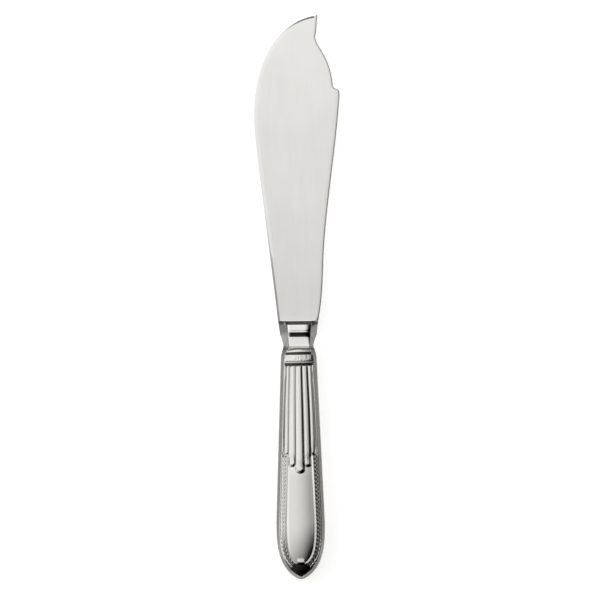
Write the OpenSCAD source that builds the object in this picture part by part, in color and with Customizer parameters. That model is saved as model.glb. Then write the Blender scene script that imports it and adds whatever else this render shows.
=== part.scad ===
// Cake knife: a forged steel blade with its bolster and tang in one piece, held by cement in a
// hollow handle that is soldered together from two stamped halves. Millimetres throughout.
// The knife lies on a table at z = 0 on its back half and its tip: the tip toward +Y, the
// cutting edge toward -X, the front of the handle up.

/* [Blade] */
// blade from the bolster's front face to the tip
blade_l = 149; // [130:0.5:170]
// blade width at the bolster
heel_w = 19.8; // [17:0.1:21]
// from the handle's axis out to the cutting edge where the blade is widest
edge_reach = 20.6; // [17:0.1:26]
// from the bolster to that widest place of the cutting edge
belly_at = 98.5; // [85:0.5:108]
// from the handle's axis out to the shoulder of the notch in the back
back_reach = 21.5; // [18:0.1:26]
// from the bolster to the notch in the back
notch_at = 113; // [102:0.5:118]
// how far the notch steps in
notch_d = 3.2; // [1:0.1:5]
// from the handle's axis to the hollow under the tip
throat_reach = 9.9; // [7:0.1:12]
// from the tip back to that hollow
throat_at = 10.4; // [8:0.1:14]
// from the handle's axis to the tip
tip_reach = 11.1; // [9:0.1:14]
// blunt end of the tip, measured across
tip_flat = 1.7; // [1:0.1:3]
// thickness of the back at the bolster
blade_t = 2.6; // [1.8:0.1:3.2]
// thickness lost along the back by the tip
taper_t = 1.2; // [0.4:0.1:1.4]
// thickness behind the cutting edge where the blade is widest
edge_t = 0.6; // [0.4:0.05:1]
// width of the small bevel that makes the cutting edge
edge_bevel = 1.0; // [0.5:0.1:2]
// width of the eased corner along the back
back_ease = 0.9; // [0.4:0.1:1.4]

/* [Bolster] */
// bolster from the blade to the handle's mouth
bolster_l = 13.3; // [10:0.1:18]
// hollow that rises from the blade to the bolster
cove_l = 1.9; // [1:0.1:3]
// from the handle's mouth to the ridge across the bolster
ridge_y = 8.1; // [6.5:0.1:8.6]
// width of the bolster's flat front face beside the blade
face_w = 10.9; // [8:0.1:12]
// bolster thickness from the ridge to the blade
block_t = 8.1; // [7:0.1:8.6]
// bolster width at its middle
block_w = 17.9; // [16:0.1:19]
// neck width at the handle
neck_w = 15; // [12:0.1:16]
// neck thickness at the handle
neck_t = 5.8; // [5.4:0.1:6.4]

/* [Tang] */
// tang inside the handle
tang_l = 62; // [40:1:80]
// tang width at the bolster
tang_w = 9; // [5:0.1:10]
// tang thickness at the bolster
tang_t = 3.4; // [2:0.1:4]

/* [Handle] */
// handle from its mouth to the point of the butt
handle_l = 113; // [100:0.5:125]
// width that the straight sides would have at the mouth
grip_w = 17.5; // [16.5:0.1:19]
// widest width of the handle, near the butt
handle_w = 24.1; // [21:0.1:28]
// from the mouth to that widest place
widest_at = 85; // [78:0.5:90]
// thickness of the plain ground at the mouth, both halves together
ground_t = 6.6; // [6.2:0.1:8]
// thickness of the plain panel at the widest place, both halves together
handle_t = 12.4; // [10:0.1:15]
// roundness of the butt seen from the side, 2 is an ellipse
thin_out = 2.3; // [2:0.1:3]
// least thickness of the stamped metal
wall = 0.7; // [0.4:0.05:1.2]

/* [Mouth ornament] */
// rounded lip at the mouth
lip_l = 2.2; // [1.5:0.1:3]
// each of the two grooves beside the collar
groove_w = 0.9; // [0.6:0.05:1.3]
// raised collar between the grooves
collar_l = 4.3; // [3:0.1:6]
// round bead at the lower side of the collar
bead_w = 0.8; // [0.5:0.05:1.1]
// height of lip and collar over the plain ground
collar_h = 0.9; // [0.5:0.05:1.2]
// depth of the grooves below the collar
groove_d = 0.5; // [0.2:0.05:0.8]

/* [Reeds] */
// height of the reeds over the plain ground
reed_h = 0.9; // [0.5:0.05:1.3]
// length of the round end of a reed
reed_end = 1.7; // [1:0.1:2.5]
// from the mouth to the end of the two outer reeds
outer_end = 52.3; // [48:0.1:54]
// from the mouth to the end of the two reeds beside the middle one
side_end = 57.8; // [56:0.1:60]
// from the mouth to the end of the middle reed
middle_end = 61; // [59:0.1:64]

/* [Border] */
// plain side margin seen from the front
margin_w = 1.65; // [1.2:0.05:2]
// width of the raised leaf band
band_w = 2.5; // [1.8:0.1:3]
// height of the leaf band over its channel
band_h = 0.4; // [0.2:0.05:0.7]
// thin bead between the leaf band and the panel
thread_w = 0.7; // [0.4:0.05:1]
// from the middle line to the round end of each leaf band at the butt
band_stop = 2.9; // [2.6:0.1:3.6]
// how far the border draws away from the outline by the butt
draw_in = 0.95; // [0.6:0.05:1.1]

/* [Fits] */
// clearance of the cement round the tang and in the handle
cement_fit = 0.05; // [0.02:0.01:0.2]
// cement from the mouth down the handle
cement_l = 72; // [50:1:90]

/* [Hidden] */

steel = [0.78, 0.78, 0.76];
silver = [0.82, 0.81, 0.78];
plaster = [0.62, 0.57, 0.5];

tip_y = bolster_l + blade_l;

// grind is the slope of each blade face across the blade, thin its slope toward the tip
thin = taper_t / 2 / blade_l;
grind = (blade_t / 2 - edge_t / 2 - thin * belly_at) / (edge_reach + heel_w / 2);
function half_t(p) = blade_t / 2 - grind * (heel_w / 2 - p[0]) - thin * (p[1] - bolster_l);

function mix(a, b, s) = a + (b - a) * s;
function clamp01(s) = min(1, max(0, s));
function smooth(s) = let (c = clamp01(s)) c * c * (3 - 2 * c);
function bow(p, s) = let (r = 1 - s)
    r * r * r * p[0] + 3 * r * r * s * p[1] + 3 * r * s * s * p[2] + s * s * s * p[3];
// points of one curve with its first end left out
function run(p, n) = [for (i = [1 : n]) bow(p, i / n)];
function last(v) = v[len(v) - 1];

// faces between two rows of equal length, given as lists of point numbers
function strip(a, b) = [for (i = [0 : len(a) - 2]) each
    [[a[i], a[i + 1], b[i + 1]], [a[i], b[i + 1], b[i]]]];
// faces between two closed loops of equal length
function sleeve(a, b) = strip(concat(a, [a[0]]), concat(b, [b[0]]));
// faces between two rows of any length, stepped by the place of each point along its row
function lace(a, pa, b, pb) = concat(
    [for (i = [0 : len(a) - 2]) let (m = (pa[i] + pa[i + 1]) / 2,
        j = len([for (k = [0 : len(b) - 2]) if ((pb[k] + pb[k + 1]) / 2 < m) 1]))
        [a[i], a[i + 1], b[j]]],
    [for (j = [0 : len(b) - 2]) let (m = (pb[j] + pb[j + 1]) / 2,
        i = len([for (k = [0 : len(a) - 2]) if ((pa[k] + pa[k + 1]) / 2 <= m) 1]))
        [a[i], b[j + 1], b[j]]]);
function flip(f) = [for (t = f) [t[0], t[2], t[1]]];

// Outline of the blade: the cutting edge, then the back, both from the bolster to the tip.
heel_l = [-heel_w / 2, bolster_l];
heel_r = [heel_w / 2, bolster_l];
belly = [-edge_reach, bolster_l + belly_at];
tip_l = [tip_reach - tip_flat, tip_y - 0.3];
tip_r = [tip_reach, tip_y];
edge = concat([heel_l],
    run([heel_l, heel_l + [0.3 * (heel_w / 2 - edge_reach), 0.32 * belly_at],
        belly - [0, 0.12 * belly_at], belly], 12),
    run([belly, belly + [0, 30 / 50.6 * (tip_y - belly[1])],
        [tip_reach - 18.6, tip_y - 3.2], tip_l], 26));

waist = [heel_w / 2 + 3.4, bolster_l + 0.34 * notch_at];
shoulder = [back_reach, bolster_l + notch_at - 3.8];
ledge = [back_reach - 0.47 * notch_d, bolster_l + notch_at];
root = [back_reach - notch_d, bolster_l + notch_at + 1.8];
throat = [throat_reach, tip_y - throat_at];
back = concat([heel_r],
    run([heel_r, [waist[0] - 0.5, mix(bolster_l, waist[1], 0.35)],
        [waist[0] - 1.1, mix(bolster_l, waist[1], 0.66)], waist], 6),
    run([waist, mix(waist, shoulder, 0.33) - [0.7, 0], mix(waist, shoulder, 0.66) + [0.9, 0],
        shoulder], 6),
    run([shoulder, shoulder + [0.1, 2.6], [back_reach - 0.3, ledge[1] - 0.2], ledge], 5),
    run([ledge, mix(ledge, root, 0.6) - [0, 0.8], root - [0.1, 0.9], root], 3),
    run([root, root + [-0.9, 11], throat + [3.3, -7.6], throat + [1.3, -4]], 9),
    run([throat + [1.3, -4], throat + [0.5, -2.4], throat + [0, -1], throat], 3),
    run([throat, throat + [0.7, 2.7], throat + [0.6, 5.4], tip_r], 6));

// direction at right angles to an outline at its point i, turned toward the blade's middle
function across(v, i, side) = let (a = v[max(0, i - 1)], b = v[min(len(v) - 1, i + 1)],
    d = (b - a) / norm(b - a)) side * [d[1], -d[0]];

// one section of the blade: twelve points, front face first, from the back to the edge
function leaf(i) = let (e = edge[i], b = back[i],
    ei = e + edge_bevel * across(edge, i, 1), bi = b + back_ease * across(back, i, -1),
    m = [for (s = [0.25, 0.75]) mix(bi, ei, s)],
    top = [[b[0], b[1], half_t(b) * 0.5], [bi[0], bi[1], half_t(bi)],
        [m[0][0], m[0][1], half_t(m[0])], [m[1][0], m[1][1], half_t(m[1])],
        [ei[0], ei[1], half_t(ei)], [e[0], e[1], min(half_t(e), edge_t / 2) * 0.5]])
    both(top);
function both(top) = concat(top, [for (i = [len(top) - 1 : -1 : 0])
    [top[i][0], top[i][1], -top[i][2]]]);

// one section of the bolster at y: half thicknesses of the flat face and of the narrow side
function block(y, h, s) = let (w = bolster_w(y), f = face_w / 2 * mix(0.83, 1, y / bolster_l))
    both([[w, y, s * 0.7], [w - 0.25, y, s], [f, y, h], [-f, y, h], [-w + 0.25, y, s],
        [-w, y, s * 0.7]]);
block_y = 0.48 * bolster_l;
function bolster_w(y) = y > block_y ?
    mix(block_w, heel_w, (y - block_y) / (bolster_l - block_y)) / 2 :
    mix(neck_w, block_w, pow(clamp01((y - 1) / (block_y - 1)), 1.6)) / 2;
cove_y = bolster_l - cove_l;
function cove(s) = 1 - sqrt(1 - s * s);
bolster = concat(
    [for (s = [0, 0.12, 0.3, 0.45, 0.58, 0.7, 0.8, 0.9, 1])
        block(ridge_y * s, mix(neck_t, block_t, pow(s, 2.8)) / 2, neck_t / 2 - 2.1 + 0.5 * s)],
    [for (s = [1, 0.75, 0.45, 0.15]) block(bolster_l - cove_l * s,
        mix(blade_t, block_t, cove(s)) / 2, mix(blade_t * 0.95, neck_t - 3.2, cove(s)) / 2)]);

module blade_body() {
    rings = concat(bolster, [for (i = [0 : len(edge) - 1]) leaf(i)]);
    n = len(rings);
    function loop(j) = [for (i = [0 : 11]) 12 * j + i];
    function fill(j) = strip([for (i = [0 : 5]) 12 * j + i], [for (i = [0 : 5]) 12 * j + 11 - i]);
    polyhedron([for (r = rings) each r],
        concat([for (j = [0 : n - 2]) each sleeve(loop(j), loop(j + 1))],
            flip(fill(0)), fill(n - 1)));
}

module tang(fit = 0) {
    w = tang_w / 2 + fit;
    t = tang_t / 2 + fit;
    e = tang_l + fit;
    translate([0, 0.5, 0]) rotate([90, 0, 0]) linear_extrude(e * 0.4 + 0.5)
        square([2 * w, 2 * t], center = true);
    intersection() {
        translate([0, -e, -t]) linear_extrude(2 * t)
            polygon([[-w, e * 0.62], [w, e * 0.62], [w * 0.55, 0], [-w * 0.55, 0]]);
        translate([-w, 0, 0]) rotate([90, 0, 90]) linear_extrude(2 * w)
            polygon([[-e * 0.38, -t], [-e * 0.38, t], [-e, t * 0.55], [-e, -t * 0.55]]);
    }
}

// Ground of the handle: a smooth half body whose section is half an ellipse. u is the distance
// from the mouth toward the butt, and the butt closes to a soft point.
side_slope = (handle_w - grip_w) / 2 / widest_at;
butt_l = handle_l - widest_at;
function half_w(u) = u > widest_at ?
    handle_w / 2 * pow(1 - pow(clamp01((u - widest_at) / butt_l), 3), 2 / 3) :
    grip_w / 2 + side_slope * u - (grip_w - neck_w - 0.2) / 2 * pow(clamp01(1 - u / 6), 2.2);
function butt_u(x) = widest_at + butt_l * pow(1 - pow(abs(x) * 2 / handle_w, 1.5), 1 / 3);
function crown(u) = mix(ground_t, handle_t, min(1, u / widest_at)) / 2 *
    pow(1 - pow(clamp01((u - widest_at) / butt_l), thin_out), 1 / thin_out);
function ground(x, u) = crown(u) * sqrt(clamp01(1 - pow(x / max(0.01, half_w(u)), 2)));

// Mouth ornament as steps along the handle: distance from the mouth, height over the ground.
collar_u = lip_l + groove_w;
bead_u = collar_u + collar_l - bead_w;
reed_u = collar_u + collar_l + groove_w;
groove_h = collar_h - groove_d;
mouth = [[0, -0.35], [0.08 * lip_l, 0.35 * collar_h], [0.3 * lip_l, 0.75 * collar_h],
    [lip_l, collar_h], [lip_l + 0.12, groove_h], [collar_u - 0.12, groove_h],
    [collar_u, collar_h], [mix(collar_u, bead_u, 0.5), collar_h + 0.08],
    [bead_u - 0.4, collar_h], [bead_u - 0.2, collar_h - 0.2], [bead_u, collar_h - 0.1],
    [bead_u + bead_w * 0.5, collar_h + 0.1], [bead_u + bead_w, collar_h - 0.1],
    [bead_u + bead_w + 0.12, groove_h - 0.05], [reed_u - 0.1, groove_h - 0.1]];

// Stations down each side, from the mouth to where the outline turns round the butt.
function ends(e) = [for (s = [1, 0.5, 0.15, 0]) e - reed_end * s];
sides = concat([for (m = mouth) m[0]], [reed_u, reed_u + 0.35, reed_u + 1.2],
    [for (s = [0.35, 0.7]) mix(reed_u + 1.2, outer_end - reed_end, s)],
    ends(outer_end), [outer_end + 0.6, outer_end + 1.8], ends(side_end), ends(middle_end),
    [for (s = [0.07, 0.3, 0.65, 1]) mix(middle_end, widest_at, s)],
    [for (s = [0.2, 0.36, 0.49]) mix(widest_at, handle_l, s)]);
n_side = len(sides);
// places across the butt: the leaf band, the thread round its end, then the sloping field
turn_x = 0.87 * handle_w / 2;
stop_x = band_stop + 2.5;
across_butt = concat([for (c = [0 : 5]) mix(turn_x, stop_x + 0.8, c / 5)], [stop_x + 0.4],
    [for (c = [0 : 3]) mix(stop_x, 0, c / 3)]);
field_c = 7;
seam = concat([for (u = sides) [half_w(u), u]], [for (x = across_butt) [x, butt_u(x)]]);
n_half = len(seam);

// Lines that run down the handle and round the butt, from the seam inward: share of the half
// width where the reeds are, and distance from the outline where the border is.
ring_share = [1, 1, 1, 1, 1, 0.712, 0.68, 0.592, 0.508, 0.482, 0.475, 0.468];
band_d = margin_w + 0.4;
thread_d = band_d + band_w;
ring_d = [0, 0.3, 0.85, margin_w, margin_w + 0.25, band_d, band_d + 0.2 * band_w,
    band_d + 0.5 * band_w, band_d + 0.8 * band_w, thread_d, thread_d + thread_w / 2,
    thread_d + thread_w];
inner_ring = 11;
// heights on those lines: of the outer reed, of the leaf band, of the thread
ring_reed = [0, 0, 0, 0.1, 0.35, 0, 0.75, 1, 0.75, 0, 0, 0];
ring_band = [0, 0, 0, 0, 0, 0, 0.7, 1, 0.7, 0, 0, 0];
ring_field = [0, 0, 0, 0, 0.7, 0.85, 0.9, 0.85, 0.7, 0.45, 0.2, 0];
function in_border(u) = smooth((u - outer_end + reed_end) / (reed_end + 0.6));
function round_end(u, e) = sqrt(1 - pow(clamp01((u - e + reed_end) / reed_end), 2)) *
    sqrt(1 - pow(clamp01(1 - (u - reed_u + 0.05) / 1.2), 2));
// ornament height at the mouth
function mouth_h(u) = u > reed_u - 0.09 ? 0 : lookup(u, mouth);

function inward(h) = h == n_half - 1 ? [0, -1] :
    let (d = seam[min(h + 1, n_half - 1)] - seam[max(h - 1, 0)]) [-d[1], d[0]] / norm(d);
// how far the border has left the outline, from the turn to the point of the butt
function drawn_in(k, h) = (k < 3 ? 0.1 : k < 5 ? 0.3 : draw_in) *
    pow(clamp01((h - n_side) / (field_c - 1)), 1.4);
function ring_at(k, h) = let (q = h >= n_side + field_c && k > 4 ?
        mix(ring_xy(4, h), field_top(h), (ring_d[k] - ring_d[4]) / (ring_d[inner_ring] - ring_d[4])) :
        ring_xy(k, h))
    [q[0], q[1], k == 0 ? 0 : ring_z(k, h, q)];
function ring_xy(k, h) = let (p = seam[h], b = in_border(p[1]),
    reed_d = k < 4 ? ring_d[k] : k == 4 ? (margin_w + p[0] * (1 - ring_share[5])) / 2 :
        p[0] * (1 - ring_share[k]),
    d = mix(reed_d, ring_d[k] + drawn_in(k, h), b))
    h < n_side ? [p[0] - d, p[1]] : p + d * inward(h);
// end of the panel between the two leaf bands
function field_top(h) = let (e = ring_xy(inner_ring, n_side + field_c - 1))
    [e[0] * 0.92 * (n_half - 1 - h) / (n_half - 1 - n_side - field_c), e[1] + 0.3];
function ring_z(k, h, q) = let (u = seam[h][1], c = h - n_side)
    ground(q[0], q[1]) +
    mouth_h(u) * [0, 0.1, 0.3, 0.6, 0.9, 1, 1, 1, 1, 1, 1, 1][k] +
    (u > reed_u ? mix(ring_reed[k] * reed_h * (k < 5 ? 1 : round_end(u, outer_end)),
        k == 3 ? 0.1 : k == 4 ? -0.12 : 0, in_border(u)) : 0) +
    (c >= field_c ? 0 : c == field_c - 1 ? (k > 4 && k < inner_ring ? 0.3 : 0) :
        smooth((u - outer_end) / 1.8) * (ring_band[k] * band_h * (c == field_c - 2 ? 0.3 : 1) +
            (k == 10 ? 0.3 : 0))) -
    0.9 * ring_field[k] * (c >= field_c ? 1 : k < 6 ? 0.5 * pow(max(0, c) / field_c, 1.4) : 0);

// Inner field: half of the lines between the two inner rings, from that ring to the middle.
// The middle reed has a narrow flat, on which the knife lies.
reed_flat = 0.07;
col_share = [0.468, 0.462, 0.425, 0.358, 0.292, 0.224, 0.185, 0.162, 0.125, reed_flat, 0];
col_reed = [0, 0, 0.7, 0.97, 0.97, 0.7, 0, 0.5, 0.86, 1.02, 1];
cols = 2 * (len(col_share) - 1);
fan_from = n_side - 6;
function field_row(j) = [for (i = [0 : cols]) let (c = min(i, cols - i), s = i < cols / 2 ? -1 : 1,
    e = ring_at(inner_ring, j), u = e[1],
    x = s * mix(col_share[c] * half_w(u), e[0] * (1 - c * 2 / cols), smooth((u - middle_end) / 8)))
    i == 0 ? [-e[0], u, e[2]] : i == cols ? e :
    [x, u, ground(x, u) + mouth_h(u) +
        (u > reed_u ? col_reed[c] * reed_h * round_end(u, c < 7 ? side_end : middle_end) : 0)]];
foot = [for (i = [0 : cols]) let (c = min(i, cols - i), e = ring_at(inner_ring, n_side + c))
    [(i < cols / 2 ? -1 : 1) * e[0], e[1], e[2]]];
function fan_row(j) = let (top = field_row(fan_from), e = ring_at(inner_ring, j),
    v = (e[1] - top[0][1]) / (foot[0][1] - top[0][1]), dx = e[0] - mix(top[cols][0], foot[cols][0], v))
    [for (i = [0 : cols]) let (x = mix(top[i][0], foot[i][0], v) + dx * (i * 2 / cols - 1),
        u = mix(top[i][1], foot[i][1], v)) [x, u, i % cols == 0 ? e[2] : ground(x, u)]];
field = [for (j = [0 : n_side - 1]) j > fan_from ? fan_row(j) : field_row(j)];

// Hollow of a half: sections from the mouth to the butt.
hollow_end = handle_l - 2.2 * wall;
hollow_u = concat([0, reed_u], [for (s = [0.25, 0.6]) mix(reed_u, outer_end, s)],
    [outer_end, mix(middle_end, widest_at, 0.5)],
    [for (s = [0, 0.3, 0.5, 0.66, 0.78, 0.88, 0.945]) mix(widest_at, hollow_end, s)]);
hollow_n = 8;
function hollow(u, fit = 0) = let (v = u * handle_l / hollow_end,
    a = half_w(v) - wall * 1.15 - fit, b = crown(v) - wall * 1.15 - fit -
        0.9 * smooth((u - widest_at) / butt_l * 1.4))
    [for (i = [0 : hollow_n]) let (f = 180 - 180 * i / hollow_n) [a * cos(f), u, b * sin(f)]];

// One half of the handle with its seam in the plane z = 0.
module half_shell() {
    full = 2 * n_half - 1;
    outer = [for (k = [0 : inner_ring]) each [for (i = [0 : full - 1])
        let (q = ring_at(k, min(i, full - 1 - i))) [(i < n_half - 1 ? -1 : 1) * q[0], q[1], q[2]]]];
    inside = [for (j = [0 : n_side - 1]) each [for (i = [1 : cols - 1]) field[j][i]]];
    lining = [for (u = hollow_u) each hollow(u)];
    in0 = len(outer);
    li0 = in0 + len(inside);
    m = len(hollow_u);
    function ring(k) = [for (i = [0 : full - 1]) full * k + i];
    function row(j) = j == n_side ? [for (i = [0 : cols]) full * inner_ring + n_side + i] :
        concat([full * inner_ring + j], [for (i = [0 : cols - 2]) in0 + (cols - 1) * j + i],
            [full * inner_ring + full - 1 - j]);
    function arch(j) = [for (i = [0 : hollow_n]) li0 + (hollow_n + 1) * j + i];
    rim = concat([for (k = [0 : inner_ring]) full * k], [for (i = [1 : cols - 1]) row(0)[i]],
        [for (k = [inner_ring : -1 : 0]) full * k + full - 1]);
    pts = concat(outer, inside, lining);
    hem = concat([for (j = [0 : m - 1]) arch(j)[0]], [for (j = [m - 1 : -1 : 0]) last(arch(j))]);
    function place(v) = [for (i = v) let (q = pts[i]) q[0] < 0 || (q[0] == 0) ?
        q[1] / handle_l / 2 : 1 - q[1] / handle_l / 2];
    function turn_of(v) = [for (i = v) 1 - atan2(abs(pts[i][2]), pts[i][0]) / 180];
    polyhedron([for (q = pts) [q[0], -q[1], q[2]]], concat(
        [for (k = [0 : inner_ring - 1]) each strip(ring(k + 1), ring(k))],
        [for (j = [0 : n_side - 1]) each strip(row(j), row(j + 1))],
        [for (j = [0 : m - 2]) each strip(arch(j + 1), arch(j))],
        [for (i = [0 : hollow_n - 2]) [last(arch(m - 1)), arch(m - 1)[i + 1], arch(m - 1)[i]]],
        flip(lace(rim, turn_of(rim), arch(0), turn_of(arch(0)))),
        flip(lace(hem, place(hem), ring(0), place(ring(0))))));
}

module cement_body() {
    us = concat([cement_fit], [for (u = hollow_u) if (u > cement_fit && u < cement_l - 1) u],
        [cement_l]);
    rings = [for (u = us) let (h = hollow(u, cement_fit))
        concat(h, [for (i = [hollow_n - 1 : -1 : 1]) [h[i][0], u, -h[i][2]]])];
    n = 2 * hollow_n;
    function loop(j) = [for (i = [0 : n - 1]) n * j + i];
    function cap(j) = strip([for (i = [0 : hollow_n]) n * j + i],
        [for (i = [0 : hollow_n]) n * j + (n - i) % n]);
    polyhedron([for (r = rings) each [for (q = r) [q[0], -q[1], q[2]]]],
        concat([for (j = [0 : len(rings) - 2]) each sleeve(loop(j), loop(j + 1))],
            flip(cap(0)), cap(len(rings) - 1)));
}

// How the knife rests: three points of its back touch the table. They are the corner of the
// tip, the cutting edge's face just before it, and the flat of the middle reed or the panel.
tip_p = let (i = len(back) - 1) back[i] + back_ease * across(back, i, -1);
tip_t = half_t(tip_p);
// least slope of the lines from that corner to the face along the cutting edge
lean = min([for (i = [len(edge) - 20 : len(edge) - 2])
    let (e = edge[i] + edge_bevel * across(edge, i, 1)) (tip_p[1] - e[1]) / (tip_p[0] - e[0])]);
// points of the back that may touch: distance from the mouth, from the middle line, height
low_points = concat([[-cove_y, face_w / 2 * mix(0.83, 1, cove_y / bolster_l), block_t / 2]],
    [for (q = concat([[mix(collar_u, bead_u, 0.5), collar_h + 0.08]],
            [for (s = [0.3, 0.6, 0.9, 1]) [mix(reed_u, middle_end - reed_end, s), 1.02 * reed_h]],
            [for (s = [0.3, 0.6, 1]) [mix(middle_end, widest_at, s), 0]]))
        let (x = reed_flat * half_w(q[0])) [q[0], x, ground(x, q[0]) + q[1]]]);
pitch = max([for (q = low_points) let (dx = tip_p[0] + q[1])
    atan((q[2] - tip_t + dx * (grind - thin * lean)) / (tip_p[1] + q[0] - dx * lean))]);
roll = atan(cos(pitch) * (grind + (tan(pitch) - thin) * lean));

module lie() {
    translate([(edge_reach - back_reach) / 2, (handle_l - tip_y) / 2,
        cos(roll) * (tip_p[1] * sin(pitch) + tip_t * cos(pitch)) - tip_p[0] * sin(roll)])
        rotate([-pitch, -roll, 0]) children();
}

module blade() {
    color(steel) lie() union() {
        blade_body();
        tang();
    }
}

module handle_front_shell() {
    color(silver) lie() half_shell();
}

module handle_back_shell() {
    color(silver) lie() rotate([0, 180, 0]) half_shell();
}

module tang_cement() {
    color(plaster) lie() difference() {
        cement_body();
        tang(cement_fit);
    }
}

blade();
handle_front_shell();
handle_back_shell();
tang_cement();
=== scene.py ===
"""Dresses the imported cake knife: satin blade, polished bolster and silver handle halves.

Lengths in the shape functions are millimetres in the knife's own frame: y = 0 at the handle's
mouth, +y toward the tip, x = 0 on the handle's axis, z = 0 in the plane of the seam. The
distance u runs from the mouth toward the butt. lay_down() puts them on the table in metres.
"""
import math

import bpy
import numpy as np
from bpy.props import FloatProperty, FloatVectorProperty, PointerProperty
from mathutils import Matrix, Vector


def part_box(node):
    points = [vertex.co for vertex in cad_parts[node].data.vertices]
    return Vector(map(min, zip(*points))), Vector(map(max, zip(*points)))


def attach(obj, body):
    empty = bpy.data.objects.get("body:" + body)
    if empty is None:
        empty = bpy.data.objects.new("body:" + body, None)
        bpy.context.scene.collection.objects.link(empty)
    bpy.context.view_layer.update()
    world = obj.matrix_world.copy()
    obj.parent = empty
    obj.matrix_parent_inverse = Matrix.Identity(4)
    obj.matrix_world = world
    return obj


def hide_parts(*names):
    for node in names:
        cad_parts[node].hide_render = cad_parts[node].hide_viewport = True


bl_info = {
    "name": "Cake knife dresser",
    "version": (1, 0, 0),
    "blender": (4, 5, 0),
    "location": "3D View > Sidebar > Cake knife",
    "description": "Builds the blade, the two stamped handle halves and a plain studio",
    "category": "Object",
}

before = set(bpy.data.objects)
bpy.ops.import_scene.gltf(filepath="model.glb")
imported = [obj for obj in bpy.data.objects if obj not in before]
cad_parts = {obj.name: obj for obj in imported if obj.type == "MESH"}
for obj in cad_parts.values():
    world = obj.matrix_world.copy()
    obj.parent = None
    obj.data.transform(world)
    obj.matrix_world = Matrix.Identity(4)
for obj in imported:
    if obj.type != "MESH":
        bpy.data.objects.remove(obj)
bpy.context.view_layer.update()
MM = 0.001

# Blade
BLADE_L, HEEL_W, EDGE_REACH, BELLY_AT = 149.0, 19.8, 20.6, 98.5
BACK_REACH, NOTCH_AT, NOTCH_D = 21.5, 113.0, 3.2
THROAT_REACH, THROAT_AT, TIP_REACH, TIP_FLAT = 9.9, 10.4, 11.1, 1.7
BLADE_T, TAPER_T, EDGE_T, EDGE_BEVEL, BACK_EASE = 2.6, 1.2, 0.6, 1.0, 0.9
# Bolster and tang
BOLSTER_L, COVE_L, RIDGE_Y, FACE_W, BLOCK_T = 13.3, 1.9, 8.1, 10.9, 8.1
BLOCK_W, NECK_W, NECK_T, TANG_L, TANG_W, TANG_T = 17.9, 15.0, 5.8, 62.0, 9.0, 3.4
# fall of a face corner that rolls over ROLL_SPAN of the face, then height of the narrow sides,
# how much higher they are on the right toward the blade, and the width of their rounding
FACE_DROP, SIDE_H, SIDE_LIFT, SIDE_EASE = 0.72, 0.3, 0.7, 0.25
# the face is this much wider on its right, and as narrow at the neck as this share
FACE_ASIDE, FACE_NECK = 0.9, 0.83
# share of the face at which its corners start to roll over: at the neck, on the right and on
# the left of the block, and for the even corner that the slant of the sides is taken from
ROLL_NECK, ROLL_RIGHT, ROLL_LEFT, ROLL_EVEN, ROLL_SPAN = 0.97, 0.66, 0.88, 0.69, 0.31
# points round half a blade section: eased back, face and bevel
EASE_N, FACE_N, BEVEL_N = 6, 22, 4
SIDE_N = EASE_N + FACE_N + BEVEL_N
SATIN, POLISHED = 0, 1
# Handle
HANDLE_L, GRIP_W, HANDLE_W, WIDEST_AT = 113.0, 17.5, 24.1, 85.0
GROUND_T, HANDLE_T, THIN_OUT, WALL = 6.6, 12.4, 2.3, 0.7
MOUTH_OVER, MOUTH_EASE, TAPER_EASE, END_TRIM = 0.2, 6.0, 10.0, 0.15
ARCH_N = 8
# Mouth ornament
LIP_L, GROOVE_W, COLLAR_L, BEAD_W, COLLAR_H, GROOVE_D = 2.2, 0.9, 4.3, 0.8, 0.9, 0.5
MARK_SEED, MARK_N, MARK_REACH, MARK_D = 5, 70, 6.2, 0.07
# Reeds
REED_H, REED_END, OUTER_END, SIDE_END, MIDDLE_END = 0.9, 1.7, 52.3, 57.8, 61.0
FAN, FAN_L, END_ROUND = 0.07, 24.0, 10.6
# place and half width of each reed, as shares of the handle's half width, and where it ends
REEDS = ((0, 0.185, MIDDLE_END), (0.3345, 0.1495, SIDE_END), (0.592, 0.108, OUTER_END))
REED_SPAN, FIELD_EDGE, VALLEY = 0.7, 0.472, 0.186
# Border
MARGIN_TILT, MARGIN_EASE, BAND_TILT = 42.0, 9.0, 25.5
MARGIN_W, BAND_W, THREAD_W, BAND_STOP, DRAW_IN = 1.65, 2.5, 0.7, 2.9, 0.95
CAP_S, CAP_W, PANEL_STEP, LEAF_STEP = 0.35, 0.2, 0.1, 0.2
# the distance from the mouth at which rows start to cross the panel, and the strength of the darkest
# painted shade
PANEL_FROM, DARKEST = 84.0, 0.97
# How the knife leans on the table
PITCH, ROLL = math.radians(1.51252), math.radians(1.728)
PLACE = (-0.45, -24.65, 4.68191)
# Camera
CAMERA_UP, CAMERA_AT, CAMERA_TURN, FILM_W = 1.495, (0.0005, -0.00124, 0.005), -0.665, 36.0
# Table and lamp: lengths in metres, power in watts
TABLE_REACH, TABLE_SINK, TABLE_GLOW = 3.0, 0.00005, 0.68
LAMP_SIZE, LAMP_POWER, LAMP_AT = 1.2, 3.0, (-1.1, 0.7, 1.5)
# Colour of full painted shade
PAINTED_SHADE_COLOUR = (0.03, 0.028, 0.025, 1)

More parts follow.
